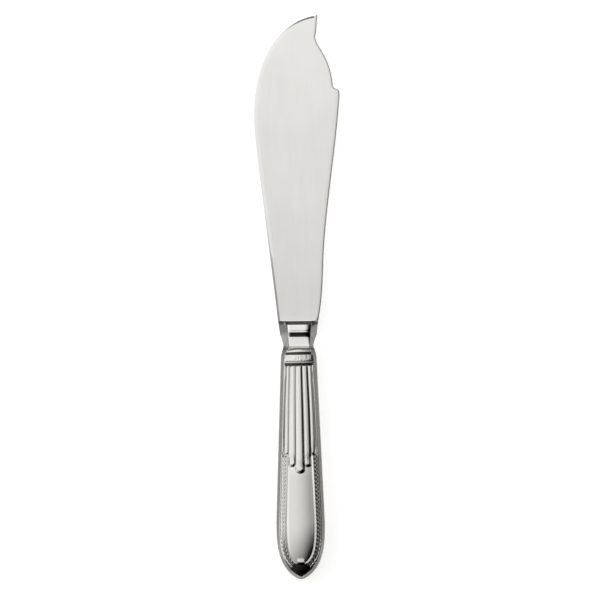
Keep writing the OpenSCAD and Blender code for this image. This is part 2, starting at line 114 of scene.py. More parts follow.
TIP_Y = BOLSTER_L + BLADE_L
THIN = TAPER_T / 2 / BLADE_L
GRIND = (BLADE_T / 2 - EDGE_T / 2 - THIN * BELLY_AT) / (EDGE_REACH + HEEL_W / 2)
BUTT_L = HANDLE_L - WIDEST_AT
SIDE_SLOPE = (HANDLE_W - GRIP_W) / 2 / WIDEST_AT
COLLAR_U = LIP_L + GROOVE_W
BEAD_U = COLLAR_U + COLLAR_L - BEAD_W
REED_U = COLLAR_U + COLLAR_L + GROOVE_W
GROOVE_H = COLLAR_H - GROOVE_D
TURN_X = 0.87 * HANDLE_W / 2
STOP_X = BAND_STOP + 3.6
FOOT_D = MARGIN_W + 0.2
BAND_D = MARGIN_W + 0.4
THREAD_D = BAND_D + BAND_W
PANEL_D = THREAD_D + THREAD_W
BAND_SLOPE = math.tan(math.radians(BAND_TILT))


def mix(a, b, s):
    return a + (b - a) * s


def clamp01(s):
    return np.clip(s, 0.0, 1.0)


def smooth(s):
    s = clamp01(s)
    return s * s * (3 - 2 * s)


def unit(vectors):
    return vectors / np.linalg.norm(vectors, axis=1)[:, None]


def bow(p, n):
    """Points of a cubic curve with its first end left out."""
    s = (np.arange(1, n + 1) / n)[:, None]
    p = [np.array(q, float) for q in p]
    r = 1 - s
    return r ** 3 * p[0] + 3 * r * r * s * p[1] + 3 * r * s * s * p[2] + s ** 3 * p[3]


def lay_down(points):
    """Knife frame in millimetres to the table in metres."""
    x, y, z = points.T
    y1 = y * math.cos(PITCH) + z * math.sin(PITCH)
    z1 = -y * math.sin(PITCH) + z * math.cos(PITCH)
    x2 = x * math.cos(ROLL) - z1 * math.sin(ROLL)
    z2 = x * math.sin(ROLL) + z1 * math.cos(ROLL)
    return np.stack([x2 + PLACE[0], y1 + PLACE[1], z2 + PLACE[2]], 1) * MM


# Blade and bolster

def half_t(x, y):
    """Half the blade's thickness, which is ground away toward the edge and the tip."""
    return BLADE_T / 2 - GRIND * (HEEL_W / 2 - x) - THIN * (y - BOLSTER_L)


def blade_outline(fine):
    """Cutting edge and back, both from the bolster to the tip, with equal counts."""
    heel_l, heel_r = np.array([-HEEL_W / 2, BOLSTER_L]), np.array([HEEL_W / 2, BOLSTER_L])
    belly = np.array([-EDGE_REACH, BOLSTER_L + BELLY_AT])
    tip_l = np.array([TIP_REACH - TIP_FLAT, TIP_Y - 0.3])
    tip_r = np.array([TIP_REACH, TIP_Y])
    edge = np.vstack([heel_l,
        bow([heel_l, heel_l + [0.3 * (HEEL_W / 2 - EDGE_REACH), 0.32 * BELLY_AT],
             belly - [0, 0.12 * BELLY_AT], belly], 12 * fine),
        bow([belly, belly + [0, 30 / 50.6 * (TIP_Y - belly[1])],
             [TIP_REACH - 18.6, TIP_Y - 3.2], tip_l], 26 * fine)])
    waist = np.array([HEEL_W / 2 + 3.4, BOLSTER_L + 0.34 * NOTCH_AT])
    shoulder = np.array([BACK_REACH, BOLSTER_L + NOTCH_AT - 3.8])
    ledge = np.array([BACK_REACH - 0.47 * NOTCH_D, BOLSTER_L + NOTCH_AT])
    root = np.array([BACK_REACH - NOTCH_D, BOLSTER_L + NOTCH_AT + 1.8])
    throat = np.array([THROAT_REACH, TIP_Y - THROAT_AT])
    back = np.vstack([heel_r,
        bow([heel_r, [waist[0] - 0.5, mix(BOLSTER_L, waist[1], 0.35)],
             [waist[0] - 1.1, mix(BOLSTER_L, waist[1], 0.66)], waist], 6 * fine),
        bow([waist, mix(waist, shoulder, 0.33) - [0.7, 0], mix(waist, shoulder, 0.66) + [0.9, 0],
             shoulder], 6 * fine),
        bow([shoulder, shoulder + [0.1, 2.6], [BACK_REACH - 0.3, ledge[1] - 0.2], ledge], 5 * fine),
        bow([ledge, mix(ledge, root, 0.6) - [0, 0.8], root - [0.1, 0.9], root], 3 * fine),
        bow([root, root + [-0.9, 11], throat + [3.3, -7.6], throat + [1.3, -4]], 9 * fine),
        bow([throat + [1.3, -4], throat + [0.5, -2.4], throat + [0, -1], throat], 3 * fine),
        bow([throat, throat + [0.7, 2.7], throat + [0.6, 5.4], tip_r], 6 * fine)])
    return edge, back


def inward_of(line, side):
    """Unit vectors square to a line, toward the middle of the blade."""
    along = unit(np.gradient(line, axis=0))
    return side * np.stack([along[:, 1], -along[:, 0]], 1)


def blade_section(edge, back, edge_in, back_in):
    """Upper half of one section of the blade, from the back to the cutting edge."""
    rows = []
    for i in range(EASE_N):
        a = math.pi / 2 * i / EASE_N
        p = mix(back_in, back, math.cos(a))
        rows.append([*p, half_t(*back_in) * (0.4 + 0.6 * math.sin(a))])
    for i in range(FACE_N + 1):
        p = mix(back_in, edge_in, i / FACE_N)
        rows.append([*p, half_t(*p)])
    low = min(half_t(*edge), EDGE_T / 2) * 0.5
    for i in range(1, BEVEL_N):
        s = i / (BEVEL_N - 1)
        rows.append([*mix(edge_in, edge, s), mix(half_t(*edge_in), low, s)])
    return np.array(rows)


def bolster_w(y):
    """Half the bolster's width."""
    block_y = 0.48 * BOLSTER_L
    if y > block_y:
        return mix(BLOCK_W, HEEL_W, (y - block_y) / (BOLSTER_L - block_y)) / 2
    return mix(NECK_W, BLOCK_W, clamp01((y - 1) / (block_y - 1)) ** 1.6) / 2


def face_half(y):
    """Half the width of the bolster's flat face."""
    return FACE_W / 2 * mix(FACE_NECK, 1, y / BOLSTER_L)


def bolster_columns(share):
    """Places across half a section, as shares of its half width. They crowd at the narrow side
    and at the face's corner, which is at share."""
    knots = [1, 0.985, 0.965, mix(0.965, share, 0.5)]
    knots += [share + step for step in (0.05, 0.02, 0, -0.02, -0.05)]
    return np.concatenate([knots, np.linspace(share - 0.1, 0.02, SIDE_N // 2 - len(knots))])


def bolster_section(y, h, low, blend, like, lift=0):
    """Upper half of one bolster section: flat face with rolled corners and slanted sides.
    h is the height of the face, low that of the narrow sides, raised by lift on the right.
    Where blend is under 1 the section goes over into like, the blade's own."""
    w, f = bolster_w(y), face_half(y)
    xs = np.concatenate([bolster_columns((f + FACE_ASIDE) / w), -bolster_columns(f / w)[::-1]]) * w
    right, across = xs > 0, np.abs(xs)
    face = np.where(right, f + FACE_ASIDE, f)
    grown = clamp01((y - 0.8) / (RIDGE_Y - 1.6))
    start = mix(ROLL_NECK, np.where(right, ROLL_RIGHT, ROLL_LEFT), grown)
    roll = clamp01((across / face - start) / (1 - start))
    fall = FACE_DROP * (1 - start) / ROLL_SPAN * face / f
    corner = h - fall
    # both sides have the slant that they would have below an even corner
    even_corner = h - FACE_DROP * (1 - mix(ROLL_NECK, ROLL_EVEN, grown)) / ROLL_SPAN
    slant = (even_corner - np.where(right, low + lift, low)) / (w - SIDE_EASE - f)
    width = w - SIDE_EASE - face
    foot = corner - slant * width
    side = mix(corner, foot, clamp01((across - face) / width))
    z = np.where(across > face, side, h - fall * (0.94 * roll + 0.06 * roll ** 2))
    rounding = clamp01((across - w + SIDE_EASE) / SIDE_EASE)
    z = np.where(rounding > 0, foot - 0.3 * foot * rounding ** 1.5, z)
    return np.stack([xs, np.full(SIDE_N, y), mix(like(xs), z, blend)], 1)


def tang_sections():
    """Upper halves of the tang's sections, from its thin end to the bolster."""
    sections = []
    for y, share in ((-TANG_L, 0.55), (-0.38 * TANG_L, 1), (0, 1)):
        x = np.linspace(1, -1, SIDE_N) * TANG_W / 2 * share
        z = np.full(SIDE_N, TANG_T / 2 * share)
        z[0] = z[-1] = TANG_T / 4 * share
        sections.append(np.stack([x, np.full(SIDE_N, float(y)), z], 1))
    return sections


def bolster_sections(like):
    """Upper halves of the bolster's sections: neck, ridge, block and the cove by the blade."""
    sections = []
    for s in np.concatenate([np.linspace(0, 0.56, 8)[:-1], np.linspace(0.56, 1, 20)]):
        rise = 0.3 * s ** 1.3 + 0.7 * clamp01((s - 0.67) / 0.28) ** 1.1
        h = mix(NECK_T, BLOCK_T, rise) / 2 - (0.05 if s == 1 else 0)
        flare = 0.2 * clamp01(1 - RIDGE_Y * s / 1.2) ** 1.5
        sections.append(bolster_section(RIDGE_Y * s, h + flare, SIDE_H + flare, 1, like))
    for s in (0.06, 0.35, 0.65, 0.95):
        y = mix(RIDGE_Y, BOLSTER_L - COVE_L, s)
        sections.append(bolster_section(y, BLOCK_T / 2, SIDE_H, 1, like, SIDE_LIFT * s))
    for s in (1.0, 0.96, 0.85, 0.7, 0.55, 0.4, 0.3, 0.22, 0.15, 0.08):
        blend = clamp01((s - 0.1) / 0.9) + 0.03 * math.exp(-((s - 0.1) / 0.1) ** 2)
        y = BOLSTER_L - COVE_L * s
        sections.append(bolster_section(y, BLOCK_T / 2, SIDE_H, blend, like, SIDE_LIFT))
    return sections


def bolster_painted_shade(points):
    """Painted shade on the steel, 0 to 1: a dark band in the cove by the blade, a darker foot at the
    neck and a painted dark reflection on the slanted sides.
    """
    x, y = points[:, 0], points[:, 1]
    past = np.abs(x) - face_half(y) - FACE_ASIDE * (x > 0)
    in_cove = smooth((y - BOLSTER_L + COVE_L + 0.1) / 0.12) * smooth((BOLSTER_L - 0.12 - y) / 0.2)
    cove = (0.5 + 0.36 * np.exp(-((past - 0.6) / 0.8) ** 2)) * in_cove
    foot = 0.5 * smooth((1.2 - y) / 0.7) * (y >= 0)
    sides = smooth((past - 0.02) / 0.1) * np.where(x > 0, 0.15, 0.35)
    sides = sides * smooth((y - RIDGE_Y + 3.5) / 3.5) * (y < BOLSTER_L - 0.1)
    return np.maximum(cove + foot, sides)


def blade_mesh():
    """The whole blade: points, faces, metal of each face and painted shade of each point."""
    edge, back = blade_outline(3)
    edge_in = edge + EDGE_BEVEL * inward_of(edge, 1)
    back_in = back + BACK_EASE * inward_of(back, -1)
    leaf = [blade_section(*corners) for corners in zip(edge, back, edge_in, back_in)]
    heel = leaf[0][::-1]

    def like(xs):
        return np.interp(xs, heel[:, 0], heel[:, 2])

    stem = tang_sections() + bolster_sections(like)
    loops = [np.vstack([s, (s * [1, 1, -1])[::-1]]) for s in stem + leaf]
    n = 2 * SIDE_N
    faces, metals = [], []
    for j in range(len(loops) - 1):
        for i in range(n):
            k = (i + 1) % n
            faces.append((j * n + i, j * n + k, (j + 1) * n + k, (j + 1) * n + i))
            metals.append(SATIN if j >= len(stem) else POLISHED)
    for first, turned in ((0, True), ((len(loops) - 1) * n, False)):
        for i in range(SIDE_N - 1):
            q = tuple(first + v for v in (i, i + 1, n - 2 - i, n - 1 - i))
            faces.append(q[::-1] if turned else q)
            metals.append(POLISHED if turned else SATIN)
    points = np.vstack(loops)
    return points, faces, metals, bolster_painted_shade(points)


# Handle halves

def half_w(u):
    """Half the handle's width."""
    u = np.asarray(u, float)
    mouth = (GRIP_W - NECK_W - MOUTH_OVER) / 2 * clamp01(1 - u / MOUTH_EASE) ** 2.2
    straight = GRIP_W / 2 + SIDE_SLOPE * u - mouth
    butt = HANDLE_W / 2 * (1 - clamp01((u - WIDEST_AT) / BUTT_L) ** 3) ** (2 / 3)
    return np.where(u > WIDEST_AT, butt, straight)


def butt_u(x):
    """Distance from the mouth to the butt's outline at the half width x."""
    return WIDEST_AT + BUTT_L * (1 - (np.abs(x) * 2 / HANDLE_W) ** 1.5) ** (1 / 3)


def crown(u):
    """Height of the ground over the seam on the handle's axis."""
    eased = clamp01((u - WIDEST_AT + TAPER_EASE) / (2 * TAPER_EASE)) ** 2
    grown = u / WIDEST_AT - eased * TAPER_EASE / WIDEST_AT
    grown = np.where(u > WIDEST_AT + TAPER_EASE, 1, grown)
    return mix(GROUND_T, HANDLE_T, grown) / 2 * \
        (1 - clamp01((u - WIDEST_AT) / BUTT_L) ** THIN_OUT) ** (1 / THIN_OUT)


def ground(x, u):
    """Height of the plain half over the seam, without its ornament."""
    return crown(u) * np.sqrt(clamp01(1 - (x / np.maximum(0.01, half_w(u))) ** 2))


# distance from the mouth and height over the ground, along the lip, collar and bead
MOUTH = np.array([[0, 0.0], [0.02 * LIP_L, 0.0], [0.08 * LIP_L, 0.4 * COLLAR_H],
    [0.18 * LIP_L, 0.68 * COLLAR_H], [0.32 * LIP_L, 0.88 * COLLAR_H], [0.55 * LIP_L, COLLAR_H],
    [0.8 * LIP_L, 0.98 * COLLAR_H], [LIP_L - 0.12, 0.9 * COLLAR_H], [LIP_L, 0.7 * COLLAR_H],
    [LIP_L + 0.1, GROOVE_H], [mix(LIP_L, COLLAR_U, 0.5), GROOVE_H - 0.08],
    [COLLAR_U - 0.1, GROOVE_H], [COLLAR_U, 0.75 * COLLAR_H], [COLLAR_U + 0.12, 0.92 * COLLAR_H],
    [COLLAR_U + 0.35, COLLAR_H], [mix(COLLAR_U, BEAD_U, 0.5), COLLAR_H + 0.07],
    [BEAD_U - 0.4, COLLAR_H], [BEAD_U - 0.2, COLLAR_H - 0.08], [BEAD_U - 0.05, COLLAR_H - 0.22],
    [BEAD_U + 0.08, COLLAR_H - 0.1], [BEAD_U + 0.25 * BEAD_W, COLLAR_H + 0.04],
    [BEAD_U + 0.5 * BEAD_W, COLLAR_H + 0.08], [BEAD_U + 0.75 * BEAD_W, COLLAR_H + 0.04],
    [BEAD_U + BEAD_W, COLLAR_H - 0.12], [BEAD_U + BEAD_W + 0.1, GROOVE_H - 0.02],
    [REED_U - 0.3, GROOVE_H - 0.12], [REED_U - 0.1, GROOVE_H - 0.12], [REED_U, 0.0]])


def stations():
    """Places along half the outline, down the side and across the butt, each as a half width
    and a distance from the mouth. Also how many of them are on the side."""
    knots = np.linspace(0, 1, len(MOUTH))
    mouth = np.interp(np.linspace(0, 1, 66), knots, MOUTH[:, 0])[:-1]
    reed_start = REED_U + np.array([0, 0.12, 0.3, 0.55, 0.85, 1.2, 1.6])
    reed = np.linspace(REED_U + 2.4, OUTER_END - REED_END - 1, 14)
    leaf = np.arange(OUTER_END - REED_END - 0.8, butt_u(TURN_X), LEAF_STEP)
    side = np.concatenate([mouth, reed_start, reed, leaf])
    side = side[side < butt_u(TURN_X) - 0.1]
    across = np.concatenate([np.linspace(TURN_X, STOP_X, 50), np.linspace(STOP_X, 0, 22)[1:]])
    outline = np.vstack([np.stack([half_w(side), side], 1), np.stack([across, butt_u(across)], 1)])
    return outline, len(side)


def ring_depths():
    """Nominal distances from the outline of the lines that run round a half."""
    margin = [0, 0.06, 0.15, 0.3, 0.5, 0.75, 1.0, 1.25, 1.42, 1.55, 1.65, 1.75, 1.85, 1.95]
    band = np.linspace(BAND_D, THREAD_D, 19)
    thread = np.linspace(THREAD_D, PANEL_D, 9)[1:]
    return np.concatenate([margin, band, thread])


def mouth_height(x, u):
    """Height of the lip, collar and bead over the ground; the lip narrows toward its ends."""
    lag = 1.5 * clamp01(np.abs(x) / (GRIP_W / 2 - MARGIN_W)) ** 2
    on_lip = np.minimum(u, LIP_L) - lag * clamp01(1 - u / LIP_L)
    h = np.interp(np.where(u < LIP_L, on_lip, u), MOUTH[:, 0], MOUTH[:, 1])
    shoulder = COLLAR_H * smooth(u / 3.4) * smooth((np.abs(x) - 3.5) / 2.5)
    h = np.where(u < LIP_L, (np.abs(h) ** 4 + shoulder ** 4) ** 0.25, h)
    marks = np.random.default_rng(MARK_SEED)
    for _ in range(MARK_N):
        mark_x = marks.uniform(-MARK_REACH, MARK_REACH)
        mark_u = marks.uniform(COLLAR_U + 0.4, BEAD_U - 0.5)
        size = marks.uniform(0.16, 0.34)
        h = h - MARK_D * np.exp(-((x - mark_x) ** 2 + (u - mark_u) ** 2) / size ** 2)
    return np.where(u >= REED_U - 1e-9, 0, h)


def fan_out(u):
    """The reeds spread a little faster than the outline below the collar."""
    return 1 + FAN * smooth((u - REED_U) / FAN_L)


def reed_place(d, w, u):
    """Distance from the outline where the line of nominal distance d runs among the reeds."""
    share = np.interp(d, [BAND_D, 2.55, 3.3, 4.05, THREAD_D, 4.9, PANEL_D],
                      [REED_SPAN, 0.68, 0.592, 0.51, 0.484, 0.478, FIELD_EDGE]) * fan_out(u)
    if d >= BAND_D:
        return w * (1 - share)
    if d <= MARGIN_W:
        return np.full(len(w), d)
    first = w * (1 - REED_SPAN * fan_out(u))
    middle = (MARGIN_W + first) / 2
    if d <= 1.85:
        return mix(MARGIN_W, middle, (d - MARGIN_W) / 0.2)
    return mix(middle, first, (d - 1.85) / 0.2)


def reeds(share, u):
    """Height of the five reeds over the ground; share is the place across, 1 at the outline."""
    a = np.abs(share)
    fan = fan_out(u)
    h = np.zeros_like(a)
    start = clamp01(1 - (u - REED_U + 0.02) / 0.9)
    for centre, half, end in REEDS:
        out = (a / fan - centre) / half if centre else a / (half * fan)
        t = np.abs(out)
        length = END_ROUND * half
        v = np.maximum(0, (u - end + length) / length)
        flank = (0.7, 0.6) if centre else (0.54, 0.44)
        rib = np.interp(t, [0, 0.25, 0.42, 0.52, 0.98, 1.02], [1.0, 0.985, 0.95, 0.9, *flank])
        if end == OUTER_END:
            rib = rib + 0.16 * out
        # toward its end a reed widens, sinks and meets the panel
        t = t * mix(1, 0.89, smooth((u - end + 7) / 4))
        low = np.interp(t, [0, 0.3, 0.45, 0.6, 0.94, 1.0], [1.0, 0.98, 0.9, 0.76, 0.12, 0.0])
        rib = np.where(t > 1.02, 0, mix(rib, low, smooth((u - end + 6) / 4)))
        rise = rib * (1 - (0.9 * start) ** 2.2) ** 0.5
        dome = np.interp(np.sqrt(t ** 2 + v ** 2), [0, 0.2, 0.32, 0.95, 1.05],
                         [1.0, 0.99, 0.94, 0.14, 0])
        rise = np.where(v > 0, np.minimum(rise, dome), rise)
        h = np.maximum(h, REED_H * rise * mix(1, 0.68, smooth((u - end + 8) / 6)))
    return h


def leaf_relief(s, t):
    """Relief of the band, 0 to 1: pairs of leaves that fork from a middle stem.
    s runs along the band in leaf lengths, t across it from -1 to 1."""
    a = abs(t)
    lean = s + 0.75 * a + 0.5 * (t > 0)
    f = lean - np.floor(lean)
    leaf = np.sin(math.pi * f) ** 0.6
    gap = np.exp(-((a - 0.06 - 0.25 * np.sin(math.pi * f)) / 0.16) ** 2)
    return clamp01((1 - a) / 0.15) * (0.25 + 0.75 * leaf * (1 - 0.55 * gap))


class Border:
    """The border of a half: rings that run round inside the outline, each named by its nominal
    distance d from it. The arrays have an entry for each station along half the outline."""

    def __init__(self):
        self.seam, self.n_side = stations()
        self.x, self.u = self.seam.T
        here = np.arange(len(self.seam))
        stop = np.argmax(self.x <= STOP_X + 1e-6)
        self.after = here - stop
        self.past = here > stop
        self.turn = clamp01((here - self.n_side) / (stop - self.n_side)) ** 1.4
        self.way = self.ring_steps()
        self.in_border = smooth((self.u - OUTER_END + REED_END) / (REED_END + 0.6))
        self.start_in = smooth((self.u - OUTER_END) / 0.9)
        corner = self.spot(PANEL_D)[stop]
        inward = clamp01((here - stop) / (len(here) - 1 - stop))
        self.top = np.stack([corner[0] * (1 - inward), corner[1] - 0.3 * smooth(inward * 3)], 1)
        self.foot = self.spot(FOOT_D)
        self.band_top = ground(*self.spot(PANEL_D).T) + PANEL_STEP
        self.rim_lift = self.margin_top()
        self.to_stop, self.pitch = self.leaf_run(stop)

    def ring_steps(self):
        """Directions from ring to ring: across the handle by the reeds, square to the outline
        round the butt and along the handle on its axis."""
        along = unit(np.gradient(self.seam, axis=0))
        inward = np.stack([-along[:, 1], along[:, 0]], 1)
        inward[-1] = [0, -1]
        way = mix(np.array([-1.0, 0]), inward, smooth((self.u - 80) / 18)[:, None])
        return unit(mix(np.array([0, -1.0]), way, smooth(self.x / 2.5)[:, None]))

    def spot(self, d):
        """Where a ring would run if the band went all the way round."""
        nominal = d + (DRAW_IN if d >= BAND_D else 0) * self.turn
        depth = mix(reed_place(d, self.x, self.u), nominal, self.in_border)
        return self.seam + depth[:, None] * self.way

    def place(self, d):
        """Where a ring runs. Past the band's end the rings draw together at the panel."""
        spot = self.spot(d)
        if d <= FOOT_D:
            return spot
        share = (d - FOOT_D) / (PANEL_D - FOOT_D)
        return np.where(self.past[:, None], mix(self.foot, self.top, share), spot)

    def margin_top(self):
        """Height over the ground of the margin's inner edge."""
        band_foot = self.band_top - BAND_SLOPE * (THREAD_D - MARGIN_W)
        band_foot = band_foot - ground(*self.spot(MARGIN_W).T)
        lift = COLLAR_H * mix(0.5, 1, smooth(self.u / 3.4))
        lift = mix(lift, 0.5, smooth((self.u - REED_U + 0.6) / 12))
        return mix(lift, band_foot, smooth((self.u - OUTER_END + 8) / 8))

    def leaf_run(self, stop):
        """Distance along the middle of the band to its end, and the length of one pair of
        leaves that fills it with whole pairs."""
        middle = self.spot(mix(BAND_D, THREAD_D, 0.5))
        steps = np.linalg.norm(np.diff(middle, axis=0), axis=1)
        run = np.concatenate([[0], np.cumsum(steps)])
        to_stop = run[stop] - run
        length = to_stop[np.argmax(self.u >= OUTER_END - 0.2)]
        return to_stop, length / round(length / props().leaf_length)

    def beyond_cap(self, d):
        """1 past the cap that closes the band."""
        return smooth((CAP_S - 0.2 - self.to_stop) / 0.25) * (BAND_D - 0.1 < d < THREAD_D + 0.1)

    def carving(self, d):
        """Relief of the leaves, 0 to 1, which fades at the band's rounded end."""
        t = (d - mix(BAND_D, THREAD_D, 0.5)) / (BAND_W / 2)
        to_cap = clamp01(1 - (self.to_stop - CAP_S - 0.33) / 1.25)
        inside = clamp01((1 - (t ** 2 + to_cap ** 2 * 0.98)) / 0.15)
        return leaf_relief(-self.to_stop / self.pitch, t) * smooth(inside)

    def ornament(self, d):
        """Height of the leaves, the outer thread and the cap, and the wedge cut beside them."""
        band = 0
        if BAND_D <= d <= THREAD_D:
            deeper = mix(1, 1.7, smooth((self.u - 88) / 12))
            band = props().leaf_height / MM * deeper * self.carving(d)
        thread = 0.14 * math.exp(-((d - BAND_D - 0.22) / 0.16) ** 2) * smooth(self.turn * 4 + 0.1)
        thread = thread * (1 - self.beyond_cap(d))
        cap = 0.3 * np.exp(-((self.to_stop - CAP_S) / CAP_W) ** 2)
        cap = cap * (BAND_D + 0.1 <= d <= PANEL_D - 0.2)
        wedge = -0.35 * self.turn * np.interp(d, [1.65, 1.8, 2.05, 2.3], [0, 1, 0.6, 0])
        return np.where(self.past, 0, np.maximum(band + thread, cap) * self.start_in + wedge)

    def drop(self, d):
        """How deep the field at the butt and the ground past the cap lie."""
        field = 0.95 * np.interp(d, [1.65, 1.85, 2.3, 3.3, 4.3, PANEL_D],
                                 [0, 0.8, 0.85, 0.62, 0.3, 0.0])
        return np.maximum(field * clamp01(self.after / 2), 0.6 * self.beyond_cap(d))

    def margin_height(self, d, q):
        """Height of the plain margin over the seam, which falls steeply at its very edge."""
        if d == 0:
            return np.zeros(len(q))
        inner = self.spot(MARGIN_W)
        tilt = np.radians(mix(MARGIN_TILT - MARGIN_EASE, MARGIN_TILT, smooth(self.u / 6)))
        fall = np.tan(tilt) * np.linalg.norm(inner - q, axis=1)
        return ground(*inner.T) + self.rim_lift - fall - 0.16 * math.exp(-d / 0.07)

    def reed_height(self, d, x):
        """Height over the ground beside and among the reeds, with a groove between the two."""
        if d >= BAND_D:
            h = reeds(x / np.maximum(0.01, half_w(self.u)), self.u)
        else:
            h = self.rim_lift
        return np.maximum(h, 0) - 0.3 * math.exp(-((d - BAND_D + 0.05) / 0.07) ** 2)

    def band_height(self, d, base):
        """Height over the ground of the slanted band and, past its end, of the field's rim."""
        if d > THREAD_D:
            facet = self.band_top - PANEL_STEP * (d - THREAD_D) / THREAD_W
        else:
            facet = self.band_top - BAND_SLOPE * (THREAD_D - d)
        rim = 0.5 * (1 - clamp01((d - MARGIN_W) / (PANEL_D - MARGIN_W))) ** 2
        return np.where(self.past, rim, facet - base)

    def height(self, d, q):
        """Height of a ring over the seam."""
        if d < MARGIN_W:
            return self.margin_height(d, q)
        x, u = q.T
        base = ground(x, u)
        mouth = mix(self.rim_lift, mouth_height(x, self.u), smooth((d - 1.86) / 0.2))
        border = mix(self.reed_height(d, x), self.band_height(d, base), self.in_border)
        border = border + self.ornament(d) * self.in_border
        return base + np.where(self.u < REED_U, mouth, border) - self.drop(d)

    def painted_shade(self, d):
        """Painted shade round the border, 0 to 1, where shade and dark reflections fall: dark in the
        wedge cut, on the field at the butt and past the cap, and between the leaves, lighter on the
        strip between the band and the panel and on the margin toward the butt.
        """
        wedge = smooth((self.turn - 0.04) / 0.15) * np.interp(d, [1.7, 1.78, 1.98, 2.06], [0, 1, 1, 0])
        field = smooth((self.after - 0.5) / 1.5) * (d > MARGIN_W + 0.1)
        deep = DARKEST * np.maximum(np.maximum(wedge, field), self.beyond_cap(d))
        leaves = np.zeros(len(self.u))
        if BAND_D + 0.3 < d < THREAD_D - 0.1:
            leaves = DARKEST * smooth((0.96 - self.carving(d)) / 0.36) * self.in_border * self.start_in
            leaves = leaves * mix(0.14, 1, smooth((self.u - 86) / 16))
        thread = 0.32 * smooth((self.u - 58) / 40) * (d > THREAD_D + 0.02) * self.in_border
        margin = 0.36 * smooth((self.u - 97) / 10) * (d < MARGIN_W + 0.05)
        light = np.maximum(np.where(self.past, 0, np.maximum(leaves, thread)), margin)
        return np.maximum(deep, light)


def half_surface():
    """Outer surface of a half between the outline and the field: rings and their painted shade."""
    border = Border()
    rings, dark = [], []
    for d in ring_depths():
        q = border.place(d)
        rings.append(np.column_stack([q, border.height(d, q)]))
        dark.append(border.painted_shade(d))
    return border.n_side, np.array(rings), np.array(dark)


def field_shares(count):
    """Places across half the field, 1 at the outline, crowded at the middle reed's valley."""
    near = int(count * 0.55)
    wave = 0.5 - 0.5 * np.cos(math.pi * np.linspace(0, 1, near + 1))
    outer = mix(FIELD_EDGE, VALLEY, wave)[:-1]
    inner = mix(VALLEY, 0.0, np.sin(math.pi / 2 * np.linspace(0, 1, count + 1 - near)))
    return mix(np.concatenate([outer, inner]), np.linspace(FIELD_EDGE, 0, count + 1), 0.5)


def field_rows(rings, n_side):
    """Rows across the reeds and the panel, ending on the innermost ring on both sides."""
    ring = rings[-1]
    count = len(ring) - 1 - n_side
    steps = np.arange(2 * count + 1)
    c = np.minimum(steps, 2 * count - steps)
    sign = np.where(steps < count, -1.0, 1.0)
    share = field_shares(count)[c]
    foot = ring[n_side + c]
    foot[:, 0] *= sign
    start = np.argmax(ring[:, 1] > PANEL_FROM)
    lip_u = foot[count, 1] - 0.25

    def reed_row(edge):
        u = np.full(len(steps), edge[1])
        fanned = share * half_w(u) * fan_out(u)
        x = sign * mix(fanned, edge[0] * (1 - c / count), smooth((u - MIDDLE_END) / 8))
        z = ground(x, u) + mouth_height(x, u)
        if edge[1] > REED_U:
            z = z + reeds(x / half_w(u), u)
        return np.stack([x, u, z], 1)

    def panel_row(edge, top):
        v = (edge[1] - top[0, 1]) / (foot[0, 1] - top[0, 1])
        wider = edge[0] - mix(top[-1, 0], foot[-1, 0], v)
        x = mix(top[:, 0], foot[:, 0], v) + wider * (steps / count - 1)
        u = mix(top[:, 1], foot[:, 1], v)
        lip = 0.42 * np.exp(-(u - lip_u) ** 2) * smooth((2.1 - np.abs(x)) / 0.8)
        return np.stack([x, u, ground(x, u) + lip], 1)

    rows = []
    for j in range(n_side):
        row = reed_row(ring[j]) if j <= start else panel_row(ring[j], rows[start])
        row[0], row[-1] = ring[j] * [-1, 1, 1], ring[j]
        rows.append(row)
    return rows


def painted_shade(x, u):
    """Painted shade, 0 to 1: in the grooves beside the collar, in the valleys between the reeds, on the
    lip's low edge at the mouth and faintly on the middle of the panel.
    """
    share = np.abs(x) / np.maximum(0.01, half_w(u)) / fan_out(u)
    inner = smooth((half_w(u) - BAND_D - np.abs(x)) / 0.2)
    deep = np.zeros_like(x)
    for a, b in ((LIP_L, COLLAR_U), (BEAD_U + BEAD_W, REED_U)):
        middle, half = (a + b) / 2, (b - a) / 2
        deep = np.maximum(deep, 0.93 * inner * smooth((half + 0.13 - np.abs(u - middle)) / 0.25))
    among = smooth((u - REED_U) / 0.3)
    lower = smooth((u - REED_U - 5) / 30)
    for line, width, end, dark in ((0.185, 0.32, SIDE_END - 0.5, 0.82),
                                   (0.485, 0.24, OUTER_END - 0.5, 0.5),
                                   (REED_SPAN + 0.004, 0.24, OUTER_END - 1, 0.8)):
        valley = np.exp(-((share - line) * half_w(u) / width) ** 2)
        deep = np.maximum(deep, dark * mix(0.45, 1, lower) * valley * among * smooth((end - u) / 0.8))
    lip = smooth((0.55 * COLLAR_H - mouth_height(x, u)) / 0.2) * (u < LIP_L) * smooth((u - 0.02) / 0.05)
    panel = smooth((u - SIDE_END) / 6) * smooth((half_w(u) * 0.47 - np.abs(x)) / 0.3)
    return np.maximum(np.maximum(deep, 0.5 * lip), 0.14 * panel)


def lining_arches():
    """The inside of a half: arches from the mouth to the end of the hollow."""
    hollow_end = HANDLE_L - 2.2 * WALL
    us = np.concatenate([[0, REED_U], mix(REED_U, OUTER_END, np.array([0.25, 0.6])),
        [OUTER_END, mix(MIDDLE_END, WIDEST_AT, 0.5)],
        mix(WIDEST_AT, hollow_end, np.array([0, 0.3, 0.5, 0.66, 0.78, 0.88, 0.945]))])
    angle = math.pi * (1 - np.arange(ARCH_N + 1) / ARCH_N)
    arches = []
    for u in us:
        v = u * HANDLE_L / hollow_end
        w = half_w(v) - WALL * 1.15
        h = crown(v) - WALL * 1.15 - 0.9 * smooth((u - WIDEST_AT) / BUTT_L * 1.4)
        arches.append(np.stack([w * np.cos(angle), np.full(ARCH_N + 1, u), h * np.sin(angle)], 1))
    return arches


def strip(a, b):
    """Faces between two rows of equal length."""
    return np.stack([a[:-1], a[1:], b[1:], b[:-1]], 1)


